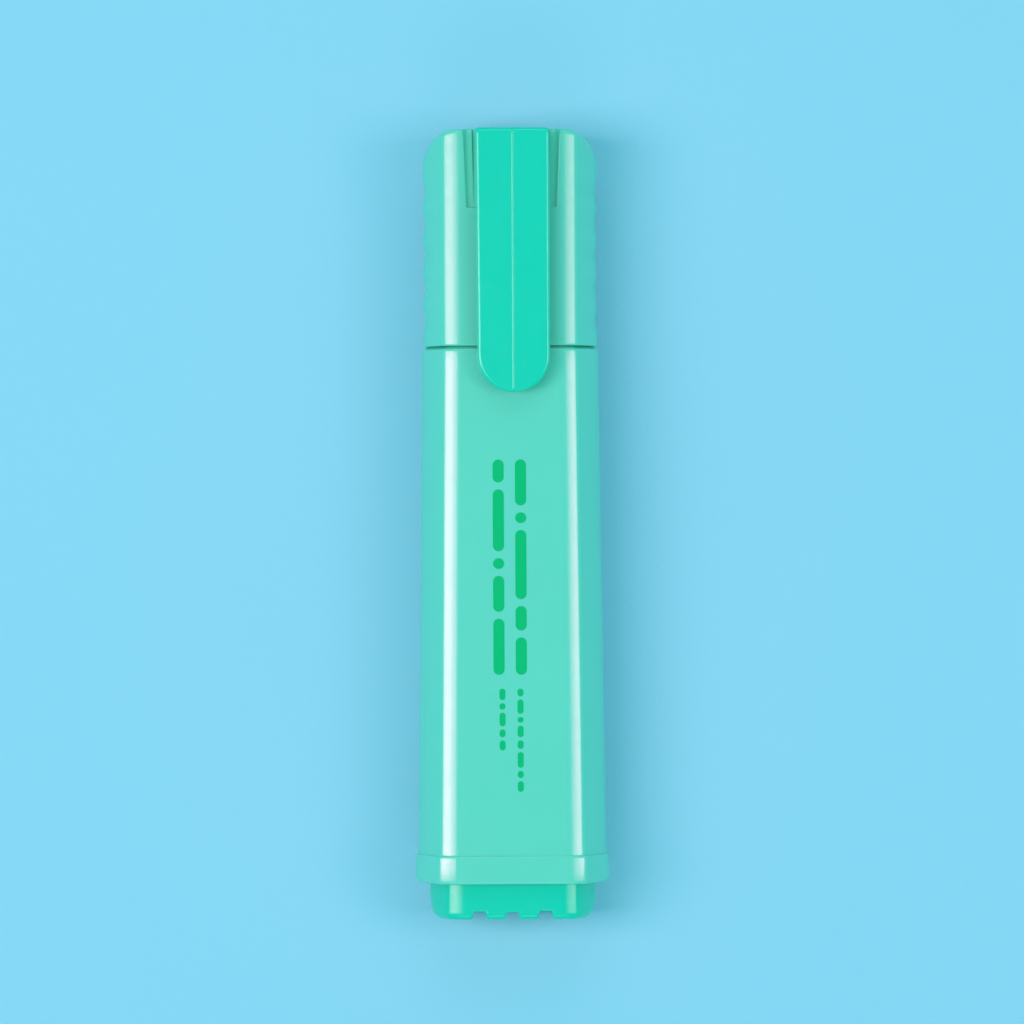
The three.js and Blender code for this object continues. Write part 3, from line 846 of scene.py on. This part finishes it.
def fibrous(name, colour, across, depth):
    """Bonded fibres that run along the pen."""
    made, tree, shader, place = new_material(name, {"Roughness": 0.95, "IOR": 1.4})
    squeeze = add_node(tree, "ShaderNodeMapping", {"Vector": place, "Scale": (1, 0.06, 1)})
    strands = noise(tree, squeeze.outputs["Vector"], across, 4, 0.65)
    body = mix_colour(tree, strands, tint(colour, 0.72), tint(colour, 1.2))
    tree.links.new(body, shader.inputs["Base Color"])
    tree.links.new(bump(tree, strands, depth), shader.inputs["Normal"])
    return made


def film_material():
    values = {"Transmission Weight": 0.85, "IOR": 1.4, "Base Color": FILM_TINT}
    made, tree, shader, place = new_material("clear_film_wrap", values)
    creases = noise(tree, place, 900, 3)
    tree.links.new(bump(tree, creases, 2e-5), shader.inputs["Normal"])
    tree.links.new(remap(tree, creases, (0.3, 0.7), (0.08, 0.2)), shader.inputs["Roughness"])
    return made


def print_material():
    made, tree, shader, place = new_material("print_ink", {"IOR": 1.45, "Specular IOR Level": 0.3})
    screen = noise(tree, place, 3500, 3)
    body = mix_colour(tree, screen, tint(PRINT_GREEN, 0.94), tint(PRINT_GREEN, 1.06))
    tree.links.new(body, shader.inputs["Base Color"])
    tree.links.new(remap(tree, screen, (0.3, 0.7), (0.18, 0.24)), shader.inputs["Roughness"])
    return made


def table_material():
    made, tree, shader, place = new_material("table_paper", {"Specular IOR Level": 0.1})
    mottle = noise(tree, place, 18, 4)
    body = mix_colour(tree, mottle, tint(TABLE_BLUE, 0.985), tint(TABLE_BLUE, 1.015))
    tree.links.new(body, shader.inputs["Base Color"])
    grain = noise(tree, place, 1500, 5, 0.6)
    tree.links.new(remap(tree, grain, (0.3, 0.7), (0.9, 1.0)), shader.inputs["Roughness"])
    tree.links.new(bump(tree, grain, 4e-5), shader.inputs["Normal"])
    return made


# ---- Camera, lights and table ----

CAMERA_HEIGHT = 925.0
LENS = 232.3
AIM = (0.15, 1.7)
ROLL = math.radians(-0.27)

# Each softbox: its bearing from +X and its lean from overhead (degrees), distance, level and sloping size (m),
# radiance. Each long box has a brighter core, as a lamp behind a diffuser gives.
SOFTBOXES = {
    "key_softbox": (180, 30.3, 1.0, 0.30, 0.716, 5.4),
    "key_core": (180, 32, 0.99, 0.30, 0.34, 4.2),
    "fill_softbox": (0, 34.75, 1.0, 0.30, 0.54, 3.5),
    "fill_core": (0, 37, 0.99, 0.30, 0.26, 2.8),
    "cap_end_fill": (90, 45, 0.8, 0.5, 0.3, 1.5),
    "tail_end_fill": (-90, 45, 0.8, 0.5, 0.3, 1.2),
}
LAMP_COLOUR = (1.0, 0.74, 0.78)
ROOM_LIGHT = (0.02, 0.43, 0.47)
WALL_LIGHT = (0.03, 1.05, 0.92)
WALL_HEIGHT = 0.7
TABLE_TOP, TABLE_REACH = -0.02, 3000.0


def add_camera():
    data = bpy.data.cameras.new("camera")
    data.sensor_width = 36
    data.lens = LENS
    data.clip_start, data.clip_end = 0.01, 20
    camera = bpy.data.objects.new("camera", data)
    camera.location = Vector((AIM[0], AIM[1], AXIS + CAMERA_HEIGHT)) * MM
    camera.rotation_euler = (0, 0, ROLL)
    bpy.context.scene.collection.objects.link(camera)
    bpy.context.scene.camera = camera


def add_softbox(name, bearing, lean, distance, level_size, sloping_size, radiance):
    data = bpy.data.lights.new(name, "AREA")
    data.shape = "RECTANGLE"
    data.size, data.size_y = level_size, sloping_size
    data.energy = radiance * math.pi * level_size * sloping_size
    data.color = LAMP_COLOUR
    light = bpy.data.objects.new(name, data)
    turn, tilt = math.radians(bearing), math.radians(lean)
    outward = Vector((math.sin(tilt) * math.cos(turn), math.sin(tilt) * math.sin(turn), math.cos(tilt)))
    light.location = distance * outward
    light.rotation_euler = outward.to_track_quat("Z", "Y").to_euler()
    bpy.context.scene.collection.objects.link(light)


def add_lights():
    for name, values in SOFTBOXES.items():
        add_softbox(name, *values)
    world = bpy.data.worlds.new("room")
    world.use_nodes = True
    tree = world.node_tree
    direction = add_node(tree, "ShaderNodeTexCoord").outputs["Generated"]
    height = add_node(tree, "ShaderNodeSeparateXYZ", {"Vector": direction}).outputs["Z"]
    room = mix_colour(tree, remap(tree, height, (0, WALL_HEIGHT), (0, 1)), WALL_LIGHT, ROOM_LIGHT)
    tree.links.new(room, tree.nodes["Background"].inputs["Color"])
    bpy.context.scene.world = world
    bpy.context.scene.view_settings.view_transform = "Standard"


def add_table():
    signs = ((-1, -1), (1, -1), (1, 1), (-1, 1))
    corners = [(i * TABLE_REACH, j * TABLE_REACH, TABLE_TOP) for i, j in signs]
    table = new_object("table", new_mesh("table", corners, [(0, 1, 2, 3)]))
    table.data.materials.append(table_material())


# ---- The pen ----

def main():
    gloss = {"Specular IOR Level": 0.88, "Specular Tint": GLOSS_TINT}
    cap_gloss = {"Specular IOR Level": 0.7, "Specular Tint": GLOSS_TINT}
    pastel = moulded_plastic("pastel_gloss", PASTEL, 0.2, 2400, 6e-6, gloss)
    cap_pastel = moulded_plastic("pastel_cap_gloss", PASTEL, 0.225, 2400, 6e-6, cap_gloss)
    satin = {"Specular IOR Level": 0.45}
    turquoise = moulded_plastic("turquoise_satin", TURQUOISE, 0.2, 7000, 1.4e-5, satin)
    seal = moulded_plastic("seal_satin", SEAL_WHITE, 0.45, 4000, 8e-6, {})
    nib_felt = fibrous("nib_fibre", NIB_COLOUR, 6000, 3e-5)
    fibre = fibrous("ink_fibre", FIBRE_COLOUR, 4000, 5e-5)
    pieces = (
        (make_cap, "cap", "cap_shell", "pastel_plastic", cap_pastel),
        (make_clip, "clip", "clip", "turquoise_plastic", turquoise),
        (make_seal, "cap", "inner_cap", "seal_plastic", seal),
        (make_barrel, "barrel", "barrel", "pastel_plastic", pastel),
        (make_nib, "barrel", "nib", "nib_felt", nib_felt),
        (make_reservoir, "barrel", "ink_reservoir", "ink_fibre", fibre),
        (make_wrap, "barrel", "reservoir_wrap", "clear_film", film_material()),
        (make_plug, "barrel", "end_plug", "turquoise_plastic", turquoise),
    )
    for make, body, node, slot, look in pieces:
        piece = make()
        piece.data.materials.append(look)
        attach(piece, body)
        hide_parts(node)
        print(piece.name, len(piece.data.vertices), len(piece.data.polygons))
    printed = make_print()
    printed.data.materials.append(print_material())
    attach(printed, "barrel")


main()
add_table()
add_lights()
add_camera()
